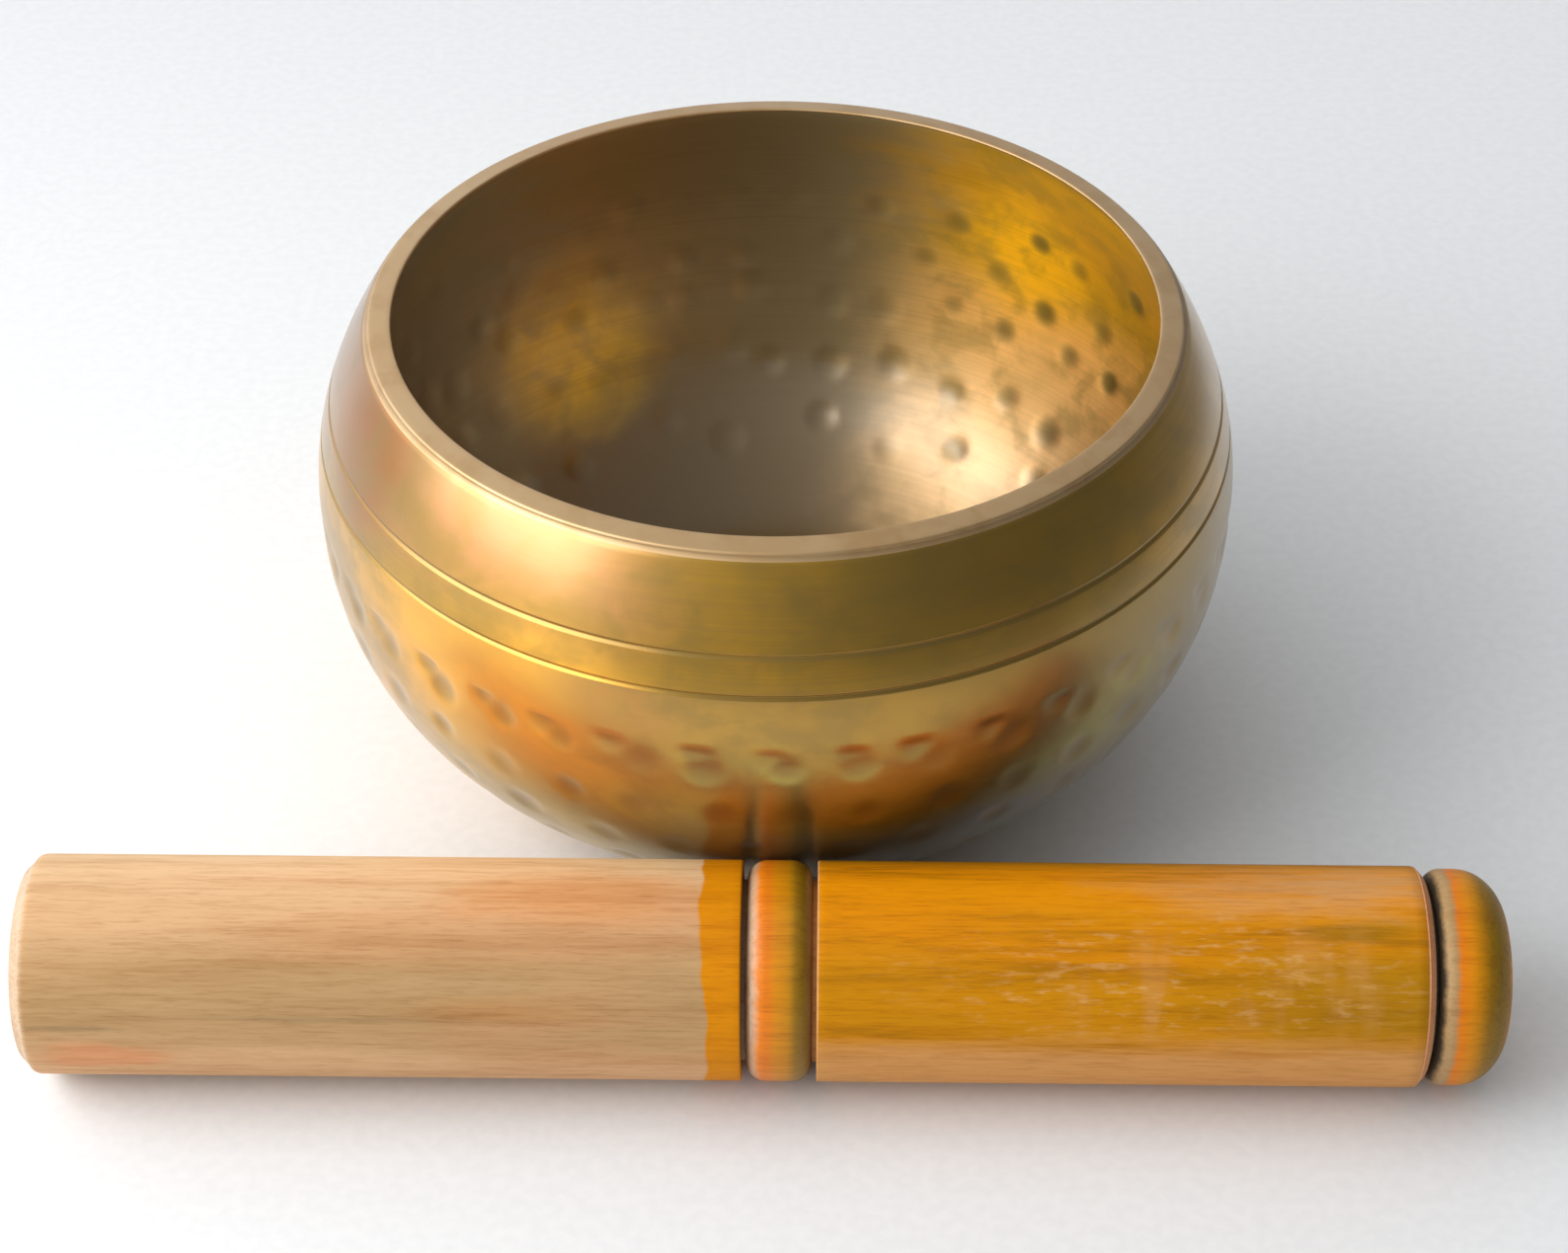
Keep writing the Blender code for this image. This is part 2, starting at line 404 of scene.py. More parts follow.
def mallet_line():
    """(radius, place along the axis) from the striking end to the knob, and each row's slot."""
    bead_end = 0.5 * BEAD_LENGTH
    handle_start = bead_end + NECK_WIDTH
    handle_end = handle_start + HANDLE_LENGTH
    parts = {
        STRIKER: striker_line(-bead_end - NECK_WIDTH),
        BEAD: bead_line(bead_end),
        HANDLE: handle_line(handle_start, handle_end),
        KNOB: knob_line(handle_end + NECK_WIDTH),
    }
    lines = {slot: np.concatenate(pieces) for slot, pieces in parts.items()}
    slots = [slot for slot, line in lines.items() for _ in line]
    return np.concatenate(list(lines.values())), slots


def make_mallet():
    """The mallet as one skin, laid down in front of the bowl."""
    # turned_grid keeps the outside on its line's left, so the line runs from the knob down.
    line, slots = mallet_line()
    line = line[::-1]
    slots = slots[::-1]
    offsets = np.zeros((len(line), MALLET_STEPS))
    mallet = turned_grid("mallet_turned", line, offsets, slots[:-1], MALLET_STEPS)
    mallet.data.set_sharp_from_angle(angle=SHARP_ANGLE)
    lie_down = Matrix.Rotation(MALLET_TURN, 4, "Z") @ Matrix.Rotation(math.pi / 2, 4, "Y")
    mallet.data.transform(Matrix.Translation(MALLET_PLACE) @ lie_down)
    for surface in (wood_striker(), wood_bead(), wood_handle(), wood_knob()):
        mallet.data.materials.append(surface)
    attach(mallet, "mallet")
    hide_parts("mallet")


# ---------------------------------------------------------------- materials


class Nodes:
    """A material's node tree with short ways to add a node."""

    def __init__(self, name):
        self.material = bpy.data.materials.new(name)
        self.material.use_nodes = True
        self.tree = self.material.node_tree
        self.shader = self.tree.nodes["Principled BSDF"]
        coordinates = self.tree.nodes.new("ShaderNodeTexCoord")
        self.place = coordinates.outputs["Object"]

    def turn_to_mallet(self):
        """Measures places from the middle of the bead, with X along the mallet."""
        node = self.tree.nodes.new("ShaderNodeMapping")
        node.vector_type = "TEXTURE"
        self.link(self.place, node.inputs["Vector"])
        node.inputs["Location"].default_value = MALLET_PLACE
        node.inputs["Rotation"].default_value = (0, 0, MALLET_TURN)
        self.place = node.outputs[0]

    def link(self, value, socket):
        if isinstance(value, bpy.types.NodeSocket):
            self.tree.links.new(value, socket)
        elif value is not None:
            socket.default_value = value

    def math(self, operation, a, b=None):
        node = self.tree.nodes.new("ShaderNodeMath")
        node.operation = operation
        for value, socket in zip((a, b), node.inputs):
            self.link(value, socket)
        return node.outputs[0]

    def plus(self, a, b):
        return self.math("ADD", a, b)

    def minus(self, a, b):
        return self.math("SUBTRACT", a, b)

    def times(self, a, b):
        return self.math("MULTIPLY", a, b)

    def over(self, a, b):
        return self.math("DIVIDE", a, b)

    def swayed(self, value, noise, amount):
        """value moved by up to half of amount either way, as a noise says."""
        return self.plus(value, self.times(self.minus(noise, 0.5), amount))

    def scaled(self, scale):
        """The place multiplied by a scale for each axis, per metre."""
        node = self.tree.nodes.new("ShaderNodeMapping")
        self.link(self.place, node.inputs["Vector"])
        node.inputs["Scale"].default_value = scale
        return node.outputs[0]

    def noise(self, vector, detail, roughness=0.5, distortion=0.0):
        node = self.tree.nodes.new("ShaderNodeTexNoise")
        self.link(vector, node.inputs["Vector"])
        node.inputs["Scale"].default_value = 1.0
        node.inputs["Detail"].default_value = detail
        node.inputs["Roughness"].default_value = roughness
        node.inputs["Distortion"].default_value = distortion
        return node.outputs["Fac"]

    def span(self, value, low, high, to_low=0.0, to_high=1.0):
        """value from low..high to to_low..to_high, smoothly and clamped."""
        node = self.tree.nodes.new("ShaderNodeMapRange")
        node.interpolation_type = "SMOOTHSTEP"
        self.link(value, node.inputs["Value"])
        self.link(low, node.inputs["From Min"])
        self.link(high, node.inputs["From Max"])
        self.link(to_low, node.inputs["To Min"])
        self.link(to_high, node.inputs["To Max"])
        return node.outputs[0]

    def mix(self, share, a, b, blend="MIX"):
        """Colour a where share is 0 and b where it is 1."""
        node = self.tree.nodes.new("ShaderNodeMix")
        node.data_type = "RGBA"
        node.blend_type = blend
        self.link(share, node.inputs[0])
        self.link((*a, 1.0) if isinstance(a, tuple) else a, node.inputs[6])
        self.link((*b, 1.0) if isinstance(b, tuple) else b, node.inputs[7])
        return node.outputs[2]

    def ramp(self, value, stops):
        """A colour for a value from 0 to 1. stops are (place, colour)."""
        node = self.tree.nodes.new("ShaderNodeValToRGB")
        self.link(value, node.inputs[0])
        ramp = node.color_ramp
        while len(ramp.elements) < len(stops):
            ramp.elements.new(0.5)
        for element, (place, colour) in zip(ramp.elements, stops):
            element.position = place
            element.color = (*colour, 1.0)
        return node.outputs[0]

    def attribute(self, name):
        node = self.tree.nodes.new("ShaderNodeAttribute")
        node.attribute_name = name
        return node.outputs["Fac"]

    def axes(self):
        node = self.tree.nodes.new("ShaderNodeSeparateXYZ")
        self.link(self.place, node.inputs[0])
        return node.outputs

    def bump(self, height, distance):
        node = self.tree.nodes.new("ShaderNodeBump")
        node.inputs["Strength"].default_value = 1.0
        node.inputs["Distance"].default_value = distance
        self.link(height, node.inputs["Height"])
        return node.outputs[0]

    def set(self, **values):
        """Sets or links the shader's inputs. An underscore stands for a space."""
        for name, value in values.items():
            self.link(value, self.shader.inputs[name.replace("_", " ")])


BRONZE = (0.54, 0.285, 0.02)
BRONZE_TURNED = (0.56, 0.295, 0.004)
# Painted light: the warm, bright colour of the lit left side.
BRONZE_LIT_WARM = (0.74, 0.38, 0.03)
BRONZE_OLIVE = (0.27, 0.17, 0.02)
BRONZE_GREEN = (0.40, 0.33, 0.045)
BRONZE_BROWN = (0.38, 0.19, 0.03)
# Painted shade in the outer hammer dents.
BRONZE_DENT_SHADE = (0.30, 0.165, 0.015)
BRONZE_PIT = (0.16, 0.11, 0.02)
# Painted highlight: the orange of the key light's reflection, laid on the band and low on the left.
BRONZE_HIGHLIGHT_ORANGE = (0.98, 0.47, 0.02)
# Painted highlight on the inside's right wall.
BRONZE_HIGHLIGHT_FLAME = (1.0, 0.52, 0.006)
BRONZE_RUST = (0.38, 0.13, 0.006)
BRONZE_COPPER = (0.50, 0.235, 0.03)
BRONZE_TAN = (0.44, 0.195, 0.085)
# Painted highlight on the inside's back left.
BRONZE_HIGHLIGHT_GOLD = (1.0, 0.72, 0.06)
BRONZE_UMBER = (0.42, 0.31, 0.145)
BRONZE_DARK = (0.21, 0.12, 0.02)
BRONZE_SMOKE = (0.33, 0.36, 0.31)
# Painted shade for the gap between the bowl and the mallet.
BRONZE_GAP_SHADE = (0.20, 0.17, 0.12)
LIP_TAN = (0.54, 0.35, 0.155)
# The inside's right wall, from the floor (mm) up to the lip: painted highlight, bright orange where the
# key light's reflection spreads up the wall.
LIT_WALL = (
    (0, (0.84, 0.52, 0.26)),
    (17, (1.0, 0.59, 0.23)),
    (29, (1.0, 0.54, 0.13)),
    (36, (0.74, 0.38, 0.01)),
    (44, (0.72, 0.34, 0.004)),
    (55, (0.54, 0.27, 0.004)),
)
# Blots on the bowl: distance from the axis (mm), azimuth, height (mm) and radius (mm). The first, third,
# fifth and sixth blots are painted highlights.
BAND_HIGHLIGHT = (49, -26, 42, 15)
BAND_RUST = (46.4, -65, 50, 12)
LOWER_HIGHLIGHT = (48, -37, 35, 19)
LOWER_COPPER = (50, -19, 40, 11)
INSIDE_HIGHLIGHT = (47, 142, 38, 13)
INSIDE_GOLD_HIGHLIGHT = (45, -148, 24, 15)
LINE_CHANGE = 14.0  # the noise's cells per metre along a lathe line


def bronze(name, film_roughness, film_ior=1.65):
    """Bronze under a thin neutral film. paint adds its colour."""
    n = Nodes(name)
    n.clouds = n.noise(n.scaled((45, 45, 80)), detail=4.0, roughness=0.6, distortion=0.5)
    n.mottle = n.noise(n.scaled((170, 170, 230)), detail=3.0, roughness=0.55, distortion=0.3)
    n.set(Metallic=1.0)
    n.shader.inputs["Coat Weight"].default_value = 1.0
    n.shader.inputs["Coat Roughness"].default_value = film_roughness
    n.shader.inputs["Coat IOR"].default_value = film_ior
    return n


def cloudy(n, roughness):
    """A roughness that varies a little with the clouds."""
    return n.span(n.clouds, 0.3, 0.7, roughness * 0.9, roughness * 1.12)


def paint(n, colour, tarnish, share):
    """The metal's colour, tarnished in soft clouds and smaller mottling."""
    colour = n.mix(n.span(n.clouds, 0.35, 0.7, 0.0, share), colour, tarnish)
    n.set(Base_Color=n.mix(n.span(n.mottle, 0.42, 0.68, 0.0, 0.45), colour, tarnish))


def distance_from_axis(n):
    x, y, _ = n.axes()
    return n.math("SQRT", n.plus(n.times(x, x), n.times(y, y)))


def turned_lines(n, across, pitch):
    """Fine lathe lines round the axis. across is the measure that changes from line to line."""
    x, y, _ = n.axes()
    combine = n.tree.nodes.new("ShaderNodeCombineXYZ")
    n.link(n.times(x, LINE_CHANGE), combine.inputs[0])
    n.link(n.times(y, LINE_CHANGE), combine.inputs[1])
    n.link(n.times(across, 1 / pitch), combine.inputs[2])
    return n.noise(combine.outputs[0], detail=4.0, roughness=0.7)


def brushed(n, amount):
    """Lathe lines run round the bowl, so they spread a highlight across themselves, up and down."""
    tangent = n.tree.nodes.new("ShaderNodeTangent")
    tangent.direction_type = "RADIAL"
    tangent.axis = "Z"
    n.link(tangent.outputs[0], n.shader.inputs["Tangent"])
    n.shader.inputs["Anisotropic"].default_value = amount
    n.shader.inputs["Anisotropic Rotation"].default_value = 0.25


def blot(n, place, soft=0.7):
    """1 in the middle of a blot, falling to 0 at its cloudy border."""
    out, azimuth, height, radius = place
    turn = math.radians(azimuth)
    middle = (out * MM * math.sin(turn), -out * MM * math.cos(turn), height * MM)
    away = n.tree.nodes.new("ShaderNodeVectorMath")
    away.operation = "DISTANCE"
    n.link(n.place, away.inputs[0])
    away.inputs[1].default_value = middle
    share = n.over(away.outputs["Value"], radius * MM)
    return n.span(n.swayed(share, n.clouds, 0.8), 1.0, 1.0 - soft)


def bronze_band():
    """Turned metal: a painted orange highlight at the front left, tan and rusty up the left, and olive
    on the right, partly tarnish and partly painted shade.
    """
    n = bronze("bronze_band", film_roughness=0.25, film_ior=1.5)
    side, _, height = n.axes()
    lines = turned_lines(n, height, pitch=0.25 * MM)
    colour = n.mix(n.span(lines, 0.35, 0.65, 0.0, 0.4), BRONZE_TURNED, BRONZE_BROWN)
    # Painted highlight: an orange blot where the key light's reflection falls at the front left.
    painted_highlight = n.times(blot(n, BAND_HIGHLIGHT, soft=0.9), 0.8)
    colour = n.mix(painted_highlight, colour, BRONZE_HIGHLIGHT_ORANGE)
    left = n.span(side, -4 * MM, -20 * MM, 0.0, 0.8)
    colour = n.mix(n.times(left, n.span(height, 41 * MM, 50 * MM)), colour, BRONZE_TAN)
    rust = n.times(blot(n, BAND_RUST), 0.95)
    colour = n.mix(rust, colour, BRONZE_RUST)
    # Olive on the right: partly tarnish, partly painted shade where the right side shows the shadowed
    # table and the dark room.
    olive_shaded = n.times(n.span(side, 0 * MM, 14 * MM), n.span(side, 44 * MM, 30 * MM))
    colour = n.mix(n.times(olive_shaded, 0.6), colour, BRONZE_OLIVE)
    # Painted shade: the metal darkens along the middle of each groove.
    for drop in GROOVE_DROPS:
        away = n.math("ABSOLUTE", n.minus(height, BOWL_HEIGHT - drop))
        groove_shade = n.span(away, 1.4 * GROOVE_HALF_WIDTH, 0.4 * GROOVE_HALF_WIDTH, 0.0, 0.4)
        colour = n.mix(groove_shade, colour, BRONZE_PIT)
    paint(n, colour, BRONZE_OLIVE, share=0.5)
    n.set(Roughness=cloudy(n, 0.34), Normal=n.bump(lines, distance=0.012 * MM))
    brushed(n, amount=0.7)
    return n.material


def bronze_hammered():
    """Painted light, warm and bright, on the left, with an orange painted highlight low down; olive on
    the right, partly tarnish and partly painted shade; greener low in front, partly patina and partly
    painted shade; painted shade in the dents and in the gap by the mallet.
    """
    n = bronze("bronze_hammered", film_roughness=0.4)
    side, depth, height = n.axes()
    # Painted light: warmer and brighter towards the left, where the key light falls.
    colour = n.mix(n.span(side, -6 * MM, -30 * MM, 0.0, 0.9), BRONZE, BRONZE_LIT_WARM)
    # Olive on the right: partly tarnish, partly painted shade where the right side shows the shadowed
    # table.
    colour = n.mix(n.span(side, 5 * MM, 32 * MM, 0.0, 0.8), colour, BRONZE_OLIVE)
    # Painted highlight: an orange blot low on the left, for the lit table and mallet shown in the metal.
    painted_highlight = blot(n, LOWER_HIGHLIGHT, soft=0.6)
    colour = n.mix(painted_highlight, colour, BRONZE_HIGHLIGHT_ORANGE)
    coppery = n.times(blot(n, LOWER_COPPER, soft=0.9), 0.8)
    colour = n.mix(coppery, colour, BRONZE_COPPER)
    low = n.swayed(height, n.clouds, 16 * MM)
    facing = n.span(depth, -24 * MM, -38 * MM)
    front_right = n.times(n.span(side, -20 * MM, 4 * MM), facing)
    # Greener low in front: partly patina, partly painted shade, for the shaded back of the mallet shown
    # in the metal.
    patina_and_shade = n.times(front_right, n.span(low, 39 * MM, 28 * MM))
    colour = n.mix(n.times(patina_and_shade, 0.9), colour, BRONZE_GREEN)
    lower_patina_and_shade = n.times(facing, n.span(low, 36 * MM, 22 * MM, 0.0, 0.6))
    colour = n.mix(lower_patina_and_shade, colour, BRONZE_GREEN)
    # Painted shade low in front by the mallet, where the gap between bowl and mallet is in shade; the
    # metal is duller there too.
    gap_shade = n.times(front_right, n.span(low, 27 * MM, 20 * MM))
    colour = n.mix(gap_shade, colour, BRONZE_GAP_SHADE)
    # Painted shade: the hammer dents are darker, the deeper they are.
    outer_dent_shade = n.span(n.attribute("pressed"), 0, OUTER_DENT_DEPTH, 0.0, 0.75)
    colour = n.mix(outer_dent_shade, colour, BRONZE_DENT_SHADE)
    paint(n, colour, n.mix(painted_highlight, BRONZE_OLIVE, BRONZE_LIT_WARM), share=0.5)
    uneven = n.noise(n.scaled((110, 110, 110)), detail=1.0)
    n.set(Roughness=cloudy(n, 0.31), Normal=n.bump(uneven, distance=0.12 * MM))
    n.set(Metallic=n.span(gap_shade, 0.0, 1.0, 1.0, 0.65))
    return n.material


def bronze_inside():
    """Dull brown on the left, at the back and on the floor, partly tarnish and partly painted shade; a
    bright orange painted highlight on the right.
    """
    n = bronze("bronze_inside", film_roughness=0.29, film_ior=1.75)
    x, _, height = n.axes()
    lines = turned_lines(n, height, pitch=0.3 * MM)
    side = n.swayed(x, n.clouds, 30 * MM)
    # The right of the inside gets the painted highlight, the left and the back the darker colours.
    lit_share = n.span(side, 6 * MM, 27 * MM)
    top = LIT_WALL[-1][0]
    stops = [(place / top, tone) for place, tone in LIT_WALL]
    lit_wall = n.ramp(n.over(height, top * MM), stops)
    # Painted highlight: a bright orange blot in the key light's reflection on the right wall.
    flame_highlight = n.times(blot(n, INSIDE_HIGHLIGHT, soft=0.9), 0.9)
    lit_wall = n.mix(flame_highlight, lit_wall, BRONZE_HIGHLIGHT_FLAME)
    # Darker towards the floor and greyer on the left: partly tarnish, partly painted shade.
    aged_and_shaded = n.mix(n.span(height, 4 * MM, 30 * MM), BRONZE_DARK, BRONZE_UMBER)
    aged_and_shaded = n.mix(n.span(side, -22 * MM, -36 * MM), aged_and_shaded, BRONZE_SMOKE)
    colour = n.mix(lit_share, aged_and_shaded, lit_wall)
    # Painted highlight: a gold blot on the back left wall, more metallic too.
    gold_highlight = n.times(blot(n, INSIDE_GOLD_HIGHLIGHT, soft=0.9), 0.85)
    colour = n.mix(gold_highlight, colour, BRONZE_HIGHLIGHT_GOLD)
    colour = n.mix(n.span(lines, 0.35, 0.65, 0.0, 0.15), colour, BRONZE_PIT)
    # Painted shade: the dents darken where the wall carries the painted highlights.
    inner_dent_shade = n.span(n.attribute("pressed"), 0.0, 0.9 * INNER_DENT_DEPTH, 0.0, 0.85)
    colour = n.mix(n.times(inner_dent_shade, n.math("MAXIMUM", lit_share, gold_highlight)), colour, BRONZE_PIT)
    paint(n, colour, n.mix(lit_share, aged_and_shaded, BRONZE_OLIVE), share=0.3)
    upper_roughness = n.span(lit_share, 0.0, 1.0, 0.52, 0.66)
    n.set(Roughness=n.span(height, 10 * MM, 34 * MM, 0.42, upper_roughness))
    n.set(Metallic=n.math("MAXIMUM", n.span(lit_share, 0.0, 1.0, 0.85, 1.0), gold_highlight))
    n.set(Normal=n.bump(lines, distance=0.006 * MM))
    brushed(n, amount=0.8)
    return n.material


def bronze_lip():
    """The worn flat of the lip, paler than the rest."""
    n = bronze("bronze_lip", film_roughness=0.45)
    lines = turned_lines(n, distance_from_axis(n), pitch=0.2 * MM)
    paint(n, LIP_TAN, BRONZE_BROWN, share=0.25)
    n.set(Roughness=cloudy(n, 0.5), Normal=n.bump(lines, distance=0.008 * MM))
    return n.material


WOOD_PALE = (0.67, 0.405, 0.21)
# Painted light on the striker's top and back.
WOOD_PAINTED_LIGHT = (0.79, 0.54, 0.315)
WOOD_CREAM = (0.58, 0.42, 0.29)
WOOD_PINK = (0.68, 0.32, 0.15)
WOOD_ROSY = (0.66, 0.30, 0.11)
WOOD_OLIVE = (0.44, 0.275, 0.12)
WOOD_TAN = (0.50, 0.25, 0.09)
# Painted shadow on the knob's flank by the neck's cut.
NECK_SHADOW = (0.06, 0.045, 0.03)
WOOD_SHADE = (0.26, 0.17, 0.09)
STAIN = (0.70, 0.25, 0.001)
# Painted light along the handle's top.
STAIN_PAINTED_LIGHT = (0.88, 0.31, 0.001)
STAIN_YELLOW = (0.58, 0.235, 0.001)
STAIN_RED = (0.78, 0.21, 0.004)
STAIN_DARK = (0.34, 0.17, 0.003)
STAIN_OLIVE = (0.27, 0.155, 0.006)
STAIN_THIN = (0.66, 0.325, 0.11)
SCRATCH = (0.80, 0.50, 0.22)
# The grain darkens the wood by these tints.
STREAK_TINT = (0.66, 0.52, 0.36)
FIBRE_TINT = (0.70, 0.58, 0.46)
PORE_TINT = (0.62, 0.50, 0.38)

# Patches of colour: middle along the mallet (mm) and round it (degrees), half length (mm), half width
# (degrees), softness of the edge, strength and colour.
STRIKER_PATCHES = (
    (-50, 98, 26, 14, 0.9, 0.5, WOOD_PINK),
    (-71, 9, 9, 3, 0.9, 0.5, WOOD_SHADE),
    (-46, 16, 24, 3, 0.9, 0.35, WOOD_SHADE),
    (-27, 22, 14, 12, 0.9, 0.6, WOOD_TAN),
    (-68, -12, 8, 14, 0.5, 1.0, WOOD_PINK),
)
STRIKER_TOP_PATCHES = ((-19, 84, 20, 26, 0.8, 0.75, WOOD_ROSY),)
HANDLE_PATCHES = (
    (60, 30, 26, 50, 0.9, 0.45, STAIN_OLIVE),
    (58, 66, 9, 9, 0.8, 0.5, STAIN_OLIVE),
)
# Where the handle is worn, as the first five numbers of a patch.
RUBBED = (54, 96, 28, 30, 0.9)
BARRED = (44, 38, 34, 44, 0.8)
SCRATCHED = (40, 42, 34, 46, 0.7)
# Places in mm along the mallet, from the middle of the bead.
STRIKER_FACE = -75.2  # the end face and its chamfer reach to here
STAIN_START = -7.7
HANDLE_START = 4.0
HANDLE_BEVEL = 64.2


class Wood(Nodes):
    """Turned wood, its grain along the mallet. Places are mm along it and degrees round it."""

    def __init__(self, name):
        super().__init__(name)
        self.turn_to_mallet()
        along, forward, up = self.axes()
        self.along = self.times(along, 1 / MM)
        turn = self.math("ARCTAN2", up, self.times(forward, -1.0))
        self.round = self.times(turn, 180 / math.pi)
        self.fibre = self.noise(self.scaled((170, 2900, 2900)), detail=3.0, roughness=0.7)
        self.streak = self.noise(self.scaled((28, 420, 420)), detail=6.0, roughness=0.7, distortion=0.2)
        self.broad = self.noise(self.scaled((14, 110, 110)), detail=2.0, roughness=0.5, distortion=0.4)
        self.ragged = self.noise(self.scaled((160, 500, 500)), detail=4.0, roughness=0.6)
        self.wavy = self.noise(self.scaled((60, 170, 170)), detail=1.5, roughness=0.4)
        self.pores = self.noise(self.scaled((420, 5200, 5200)), detail=1.0)

    def patch(self, along, around, length, width, soft):
        """1 in the middle of a ragged oval patch, falling to 0 at its edge."""
        a = self.over(self.minus(self.along, along), length)
        b = self.over(self.minus(self.round, around), width)
        away = self.math("SQRT", self.plus(self.times(a, a), self.times(b, b)))
        return self.span(self.swayed(away, self.ragged, 0.8), 1.0, 1.0 - soft)

    def patches(self, colour, places):
        """Lays patches over a colour, one after another."""
        for along, around, length, width, soft, strength, tone in places:
            share = self.times(self.patch(along, around, length, width, soft), strength)
            colour = self.mix(share, colour, tone)
        return colour

    def edge(self, place, ragged, soft):
        """0 before a place along the mallet and 1 after it, with a ragged border."""
        return self.span(self.swayed(self.along, self.wavy, ragged), place - soft, place + soft)

    def bands(self, stops, ragged):
        """Colours that follow one another along the mallet. stops are (place, colour)."""
        start, end = stops[0][0], stops[-1][0]
        place = self.swayed(self.along, self.ragged, ragged)
        share = self.over(self.minus(place, start), end - start)
        return self.ramp(share, [((stop - start) / (end - start), colour) for stop, colour in stops])

    def done(self, colour, roughness=0.5, shine=0.1):
        """Adds the grain to a colour and finishes the material."""
        streaks = self.span(self.streak, 0.42, 0.7, 0.0, 0.45)
        fibres = self.span(self.fibre, 0.45, 0.70, 0.0, 0.4)
        pores = self.span(self.pores, 0.58, 0.70, 0.0, 0.25)
        colour = self.mix(streaks, colour, STREAK_TINT, "MULTIPLY")
        colour = self.mix(fibres, colour, FIBRE_TINT, "MULTIPLY")
        colour = self.mix(pores, colour, PORE_TINT, "MULTIPLY")
        self.set(Base_Color=colour, Normal=self.bump(self.fibre, distance=0.015 * MM))
        self.set(Roughness=self.span(self.fibre, 0.3, 0.7, roughness, roughness + 0.15))
        self.shader.inputs["Specular IOR Level"].default_value = shine
        return self.material


def wood_striker():
    """Bare wood: olive along the front, painted lighter on top and at the back, with ragged stain at the
    handle's end.
    """
    w = Wood("wood_striker")
    front = w.math("ABSOLUTE", w.minus(w.round, 26))
    front = w.swayed(front, w.broad, 90)
    bare = w.mix(w.span(front, 42, 8, 0.0, 0.8), WOOD_PALE, WOOD_OLIVE)
    bare = w.mix(w.times(w.span(w.broad, 0.5, 0.3), 0.4), bare, WOOD_PINK)
    bare = w.patches(bare, STRIKER_PATCHES)
    # Painted light: lighter on top and at the back.
    bare = w.mix(w.span(w.math("ABSOLUTE", w.round), 66, 120), bare, WOOD_PAINTED_LIGHT)
    bare = w.patches(bare, STRIKER_TOP_PATCHES)
    bare = w.mix(w.edge(STRIKER_FACE, ragged=0.3, soft=0.3), WOOD_CREAM, bare)
    return w.done(w.mix(w.edge(STAIN_START, ragged=3.6, soft=0.2), bare, STAIN))


# Bands round the bead and the knob: the place in mm along the mallet, and the colour there. The dark
# bands on the right flanks are partly stain and partly painted shade.
BEAD_BANDS = (
    (-3.4, WOOD_SHADE),
    (-2.8, WOOD_CREAM),
    (-2.3, WOOD_PINK),
    (-1.9, STAIN_RED),
    (-1.0, STAIN_RED),
    (-0.4, STAIN),
    (0.8, STAIN_YELLOW),
    (1.6, STAIN_DARK),
    (2.5, STAIN_OLIVE),
    (3.4, WOOD_SHADE),
)
KNOB_BANDS = (
    # Painted shadow of the neck's cut on the knob's left flank.
    (65.1, NECK_SHADOW),
    (65.7, NECK_SHADOW),
    (66.2, WOOD_OLIVE),
    (66.9, WOOD_OLIVE),
    (67.5, STAIN_RED),
    (68.6, STAIN),
    (69.4, STAIN_YELLOW),
    (70.4, STAIN_DARK),
    (71.6, STAIN_OLIVE),
    (72.6, STAIN_DARK),
    (73.3, STAIN),
)


def wood_bead():
    w = Wood("wood_bead")
    return w.done(w.bands(BEAD_BANDS, ragged=0.7), roughness=0.34, shine=0.3)


def wood_knob():
    w = Wood("wood_knob")
    return w.done(w.bands(KNOB_BANDS, ragged=0.9), roughness=0.4, shine=0.2)


def scratched(w, colour):
    """Cross bars of worn stain, and bright scratches along the grain."""
    bars = w.noise(w.scaled((230, 60, 60)), detail=2.0, roughness=0.5, distortion=0.2)
    thin = w.times(w.span(bars, 0.48, 0.66, 0.0, 0.35), w.patch(*BARRED))
    colour = w.mix(thin, colour, STAIN_THIN)
    strokes = w.noise(w.scaled((420, 1500, 1500)), detail=2.0, roughness=0.6)
    scratches = w.times(w.span(strokes, 0.5, 0.76), w.patch(*SCRATCHED))
    return w.mix(w.times(scratches, 0.38), colour, SCRATCH)


